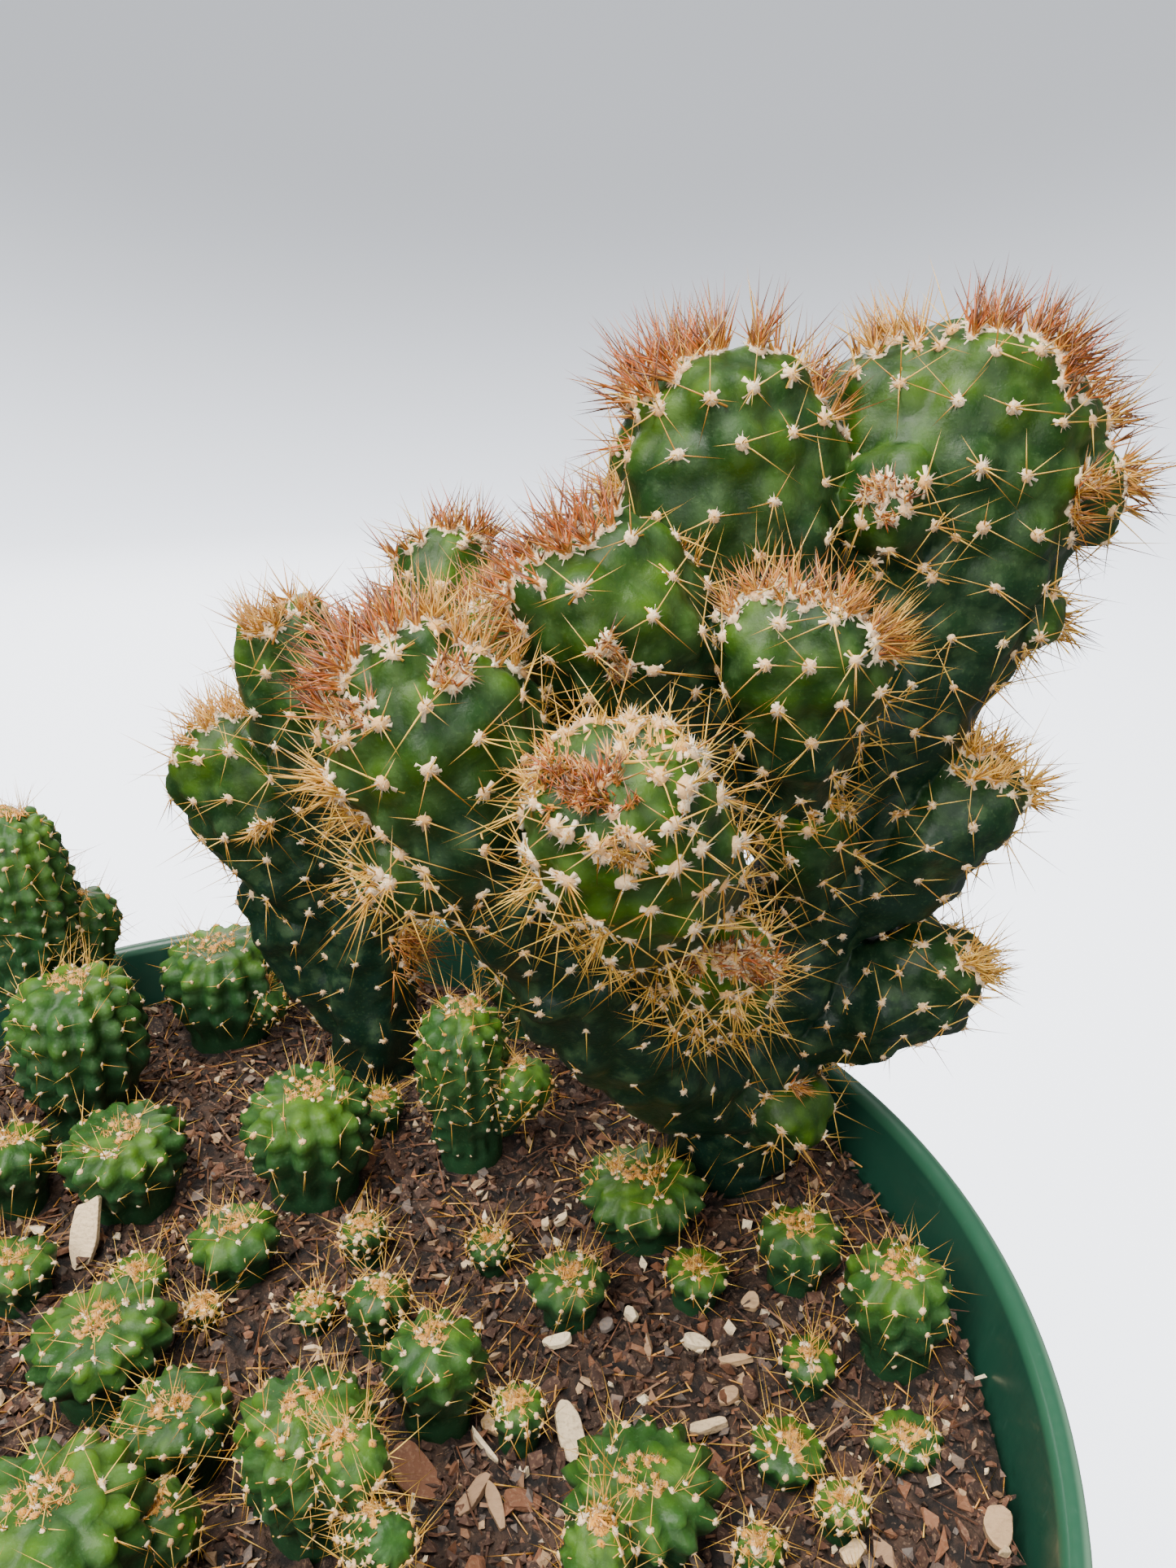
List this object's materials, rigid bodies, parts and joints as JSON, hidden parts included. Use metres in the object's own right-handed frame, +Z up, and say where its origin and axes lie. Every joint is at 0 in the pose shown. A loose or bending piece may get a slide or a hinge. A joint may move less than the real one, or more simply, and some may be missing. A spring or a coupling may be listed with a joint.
{
  "type": "potted crested peruvian apple cactus",
  "caption": "Crested Peruvian apple cactus leaning over the rim of a round green nursery pot, with a colony of low spiny offsets in bark soil.",
  "frame": {"origin": "middle of the pot's flat base, on the surface it stands on", "axes": "+Z up; +X towards the wall that the big clump leans over; +Y away from the side the plant is viewed from"},
  "size_m": [0.2745, 0.254, 0.3417],
  "materials": {
    "green_plastic": "dark green moulded plastic with a soft sheen, paler along the lip",
    "bark_soil": "dark brown bark and fibre mix with grit and pale wood chips",
    "old_cactus_skin": "waxy mid to deep green skin, blue-green in the shaded stems, with cream wool at the areoles",
    "young_cactus_skin": "waxy fresh green skin with cream areoles and golden spines"
  },
  "bodies": {
    "root": {"back_clump": "old_cactus_skin", "crested_clump": "old_cactus_skin", "offset_ball": "young_cactus_skin", "offset_brown": "young_cactus_skin", "offset_button_a": "young_cactus_skin", "offset_button_b": "young_cactus_skin", "offset_button_c": "young_cactus_skin", "offset_button_d": "young_cactus_skin", "offset_button_e": "young_cactus_skin", "offset_button_f": "young_cactus_skin", "offset_corner": "young_cactus_skin", "offset_far_left": "young_cactus_skin", "offset_front_a": "young_cactus_skin", "offset_front_b": "young_cactus_skin", "offset_front_big": "young_cactus_skin", "offset_front_c": "young_cactus_skin", "offset_front_d": "young_cactus_skin", "offset_front_e": "young_cactus_skin", "offset_front_f": "young_cactus_skin", "offset_front_g": "young_cactus_skin", "offset_front_middle": "young_cactus_skin", "offset_left": "young_cactus_skin", "offset_left_edge": "young_cactus_skin", "offset_left_front": "young_cactus_skin", "offset_left_rear": "young_cactus_skin", "offset_lobed": "young_cactus_skin", "offset_low_b": "young_cactus_skin", "offset_low_left": "young_cactus_skin", "offset_middle": "young_cactus_skin", "offset_pair_front": "young_cactus_skin", "offset_pair_rear": "young_cactus_skin", "offset_rear": "young_cactus_skin", "offset_right": "young_cactus_skin", "offset_right_brown": "young_cactus_skin", "offset_right_edge": "young_cactus_skin", "offset_right_low": "young_cactus_skin", "offset_right_low_b": "young_cactus_skin", "offset_right_mid": "young_cactus_skin", "offset_right_rear": "young_cactus_skin", "offset_side_a": "young_cactus_skin", "offset_side_b": "young_cactus_skin", "offset_side_c": "young_cactus_skin", "offset_side_d": "young_cactus_skin", "offset_side_e": "young_cactus_skin", "offset_side_f": "young_cactus_skin", "offset_tall": "young_cactus_skin", "offset_tiny_a": "young_cactus_skin", "offset_tiny_b": "young_cactus_skin", "offset_wall": "young_cactus_skin", "pot": "green_plastic", "soil": "bark_soil"}
  },
  "joints": []
}
